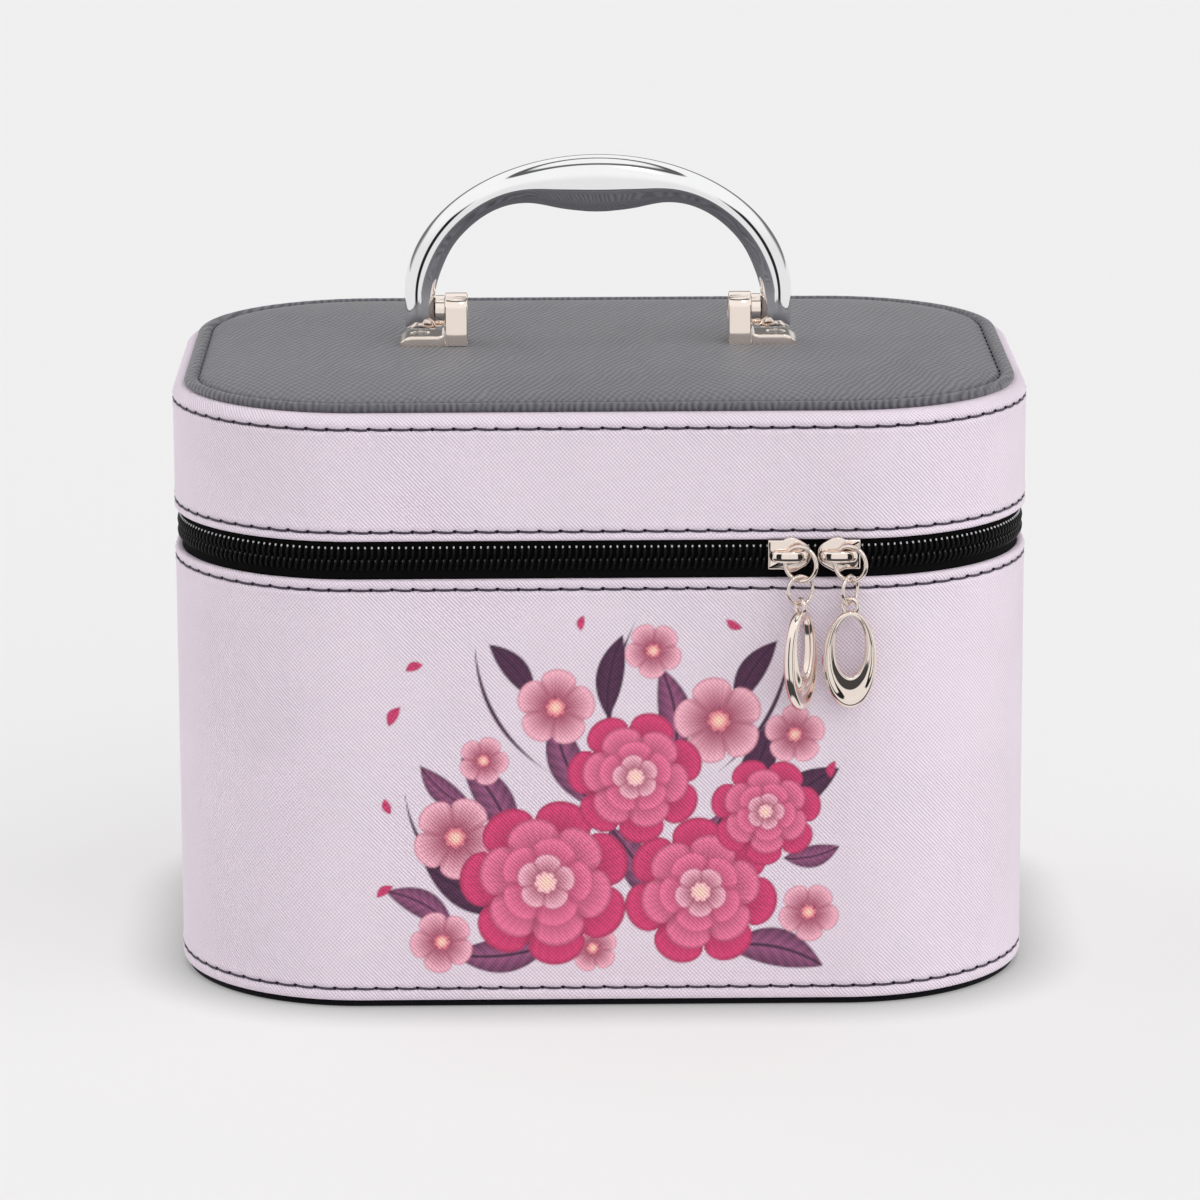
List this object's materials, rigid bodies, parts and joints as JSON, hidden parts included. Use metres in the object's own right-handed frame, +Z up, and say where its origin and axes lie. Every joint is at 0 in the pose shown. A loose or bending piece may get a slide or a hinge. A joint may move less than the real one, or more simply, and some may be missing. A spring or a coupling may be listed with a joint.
{
  "type": "vanity case",
  "caption": "Rounded zip-around vanity case with a padded lid, a folding carrying handle, linked zip pulls and a mirror inside the lid.",
  "frame": {"origin": "middle of the flat underside that the case stands on", "axes": "+Z up, the front with the zip pulls faces -Y, +X to the right of the front"},
  "size_m": [0.24, 0.1912, 0.2265],
  "materials": {
    "lilac_pu": "pale lilac cross-grain leathercloth, satin",
    "charcoal_pu": "charcoal cross-grain leathercloth, satin",
    "base_pu": "black leathercloth, matt",
    "greyboard": "grey board",
    "lining_cloth": "dark short-pile lining cloth",
    "foam": "foam sheet",
    "mirror": "silvered glass",
    "zip_tape": "black woven tape",
    "zip_coil": "black nylon coil",
    "steel": "plain steel",
    "nickel": "warm pale nickel plate on zinc casting",
    "handle_chrome": "bright chrome plate on zinc casting"
  },
  "bodies": {
    "case": {"body_wrap": "lilac_pu", "body_wall_board": "greyboard", "base_board": "greyboard", "base_cover": "base_pu", "body_lining": "lining_cloth", "zip_tape_lower": "zip_tape", "zip_coil_lower": "zip_coil", "hinge_strip": "lilac_pu"},
    "lid": {"lid_wrap": "lilac_pu", "lid_wall_board": "greyboard", "lid_top_board": "greyboard", "lid_foam": "foam", "lid_top_cover": "charcoal_pu", "lid_lining": "lining_cloth", "mirror_glass": "mirror", "mirror_frame": "charcoal_pu", "zip_tape_upper": "zip_tape", "zip_coil_upper": "zip_coil", "bracket_tongue_screws": "steel", "bracket_lug_screws": "steel", "handle_bracket_left": "nickel", "handle_bracket_right": "nickel", "backing_plate_left": "steel", "backing_plate_right": "steel", "handle_pin_left": "steel", "handle_pin_right": "steel", "handle_washer_left": "nickel", "handle_washer_right": "nickel"},
    "handle": {"handle_arch": "handle_chrome"},
    "left_slider": {"slider_left": "nickel", "slider_bridge_left": "nickel"},
    "left_pull_ring": {"pull_ring_left": "nickel"},
    "left_jump_ring": {"jump_ring_left": "nickel"},
    "left_pull_loop": {"pull_loop_left": "nickel"},
    "right_slider": {"slider_right": "nickel", "slider_bridge_right": "nickel"},
    "right_pull_ring": {"pull_ring_right": "nickel"},
    "right_jump_ring": {"jump_ring_right": "nickel"},
    "right_pull_loop": {"pull_loop_right": "nickel"}
  },
  "joints": [
    {"name": "lid_hinge", "type": "hinge", "parent": "case", "child": "lid", "pos_m": [0, 0.0885, 0.1279], "axis": [-1, 0, 0], "range_deg": [0, 100], "deforming": ["hinge_strip"]},
    {"name": "handle_fold", "type": "hinge", "parent": "lid", "child": "handle", "pos_m": [0, 0, 0.1815], "axis": [1, 0, 0], "range_deg": [-90, 90]},
    {"name": "left_slider_run", "type": "slide", "parent": "case", "child": "left_slider", "axis": [1, 0, 0], "range_m": [-0.1183, 0]},
    {"name": "right_slider_turn", "type": "hinge", "parent": "case", "child": "right_slider", "pos_m": [0.067, -0.035, 0.1279], "axis": [0, 0, 1], "range_deg": [0, 90]},
    {"name": "left_pull_ring_lift", "type": "hinge", "parent": "left_slider", "child": "left_pull_ring", "pos_m": [0.0513, -0.0926, 0.129], "axis": [-1, 0, 0], "range_deg": [0, 45]},
    {"name": "left_jump_ring_sway", "type": "hinge", "parent": "left_pull_ring", "child": "left_jump_ring", "pos_m": [0.0542, -0.0928, 0.1224], "axis": [0, 1, 0], "range_deg": [0, 25]},
    {"name": "left_pull_loop_lift", "type": "hinge", "parent": "left_jump_ring", "child": "left_pull_loop", "pos_m": [0.0542, -0.09352, 0.11604], "axis": [-1, 0, 0], "range_deg": [0, 40]},
    {"name": "right_pull_ring_lift", "type": "hinge", "parent": "right_slider", "child": "right_pull_ring", "pos_m": [0.0649, -0.0926, 0.129], "axis": [-1, 0, 0], "range_deg": [0, 45]},
    {"name": "right_jump_ring_sway", "type": "hinge", "parent": "right_pull_ring", "child": "right_jump_ring", "pos_m": [0.0678, -0.0928, 0.1224], "axis": [0, -1, 0], "range_deg": [0, 25]},
    {"name": "right_pull_loop_lift", "type": "hinge", "parent": "right_jump_ring", "child": "right_pull_loop", "pos_m": [0.0678, -0.09297, 0.116], "axis": [-0.5592, -0.829, 0], "range_deg": [0, 40]}
  ]
}
